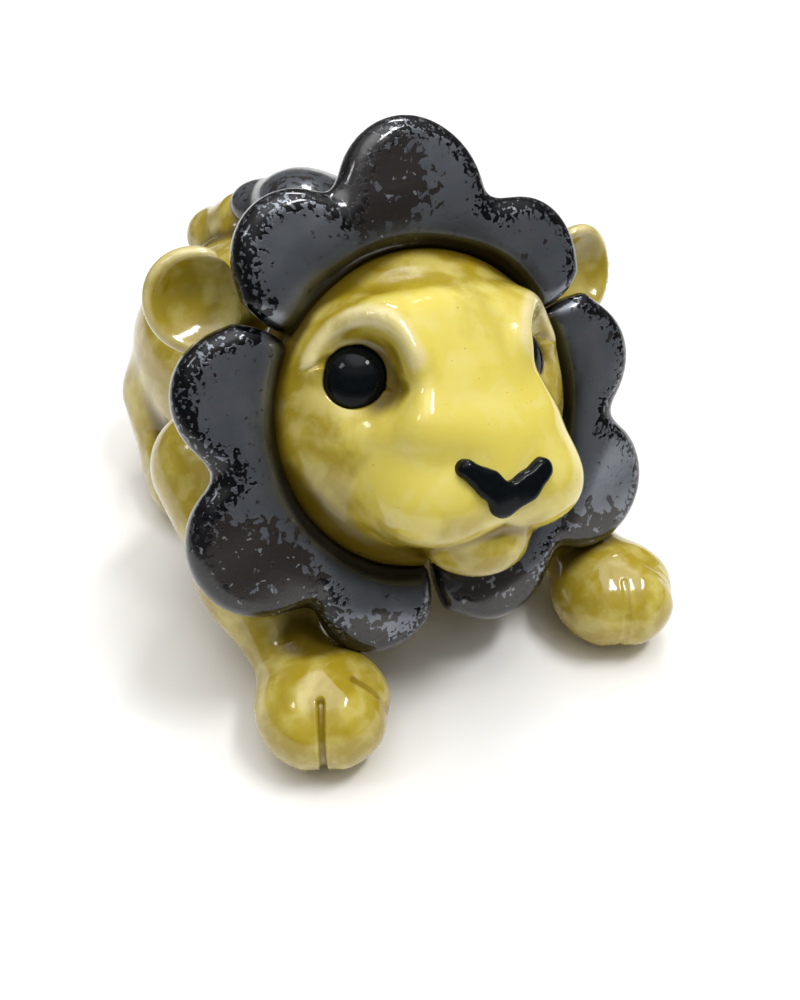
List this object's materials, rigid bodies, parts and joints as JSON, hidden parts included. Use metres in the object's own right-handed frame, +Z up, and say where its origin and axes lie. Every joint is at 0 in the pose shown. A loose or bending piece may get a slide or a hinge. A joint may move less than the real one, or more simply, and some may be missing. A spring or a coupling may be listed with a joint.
{
  "type": "ceramic lion sculpture",
  "caption": "Hand-built glazed ceramic lion standing on all fours with its head cocked up, a ring of lobed slabs as its mane, bead eyes and a curled-over tail tuft.",
  "frame": {"origin": "on the floor under the middle of the figure's box", "axes": "+Z up; the lion faces -Y; +X is the lion's left side"},
  "size_m": [0.0938, 0.1388, 0.094],
  "materials": {
    "yellow_glaze": "glossy transparent yellow glaze that pools olive in recesses and breaks cream over edges",
    "gunmetal_glaze": "semi-gloss gunmetal grey glaze with black speckle and small light flakes",
    "black_glaze": "mirror-gloss black glaze"
  },
  "bodies": {
    "root": {"lion_body": "yellow_glaze", "mane_top": "gunmetal_glaze", "mane_right": "gunmetal_glaze", "mane_left": "gunmetal_glaze", "tail_tuft": "gunmetal_glaze", "eye_right": "black_glaze", "eye_left": "black_glaze", "nose": "black_glaze"}
  },
  "joints": []
}
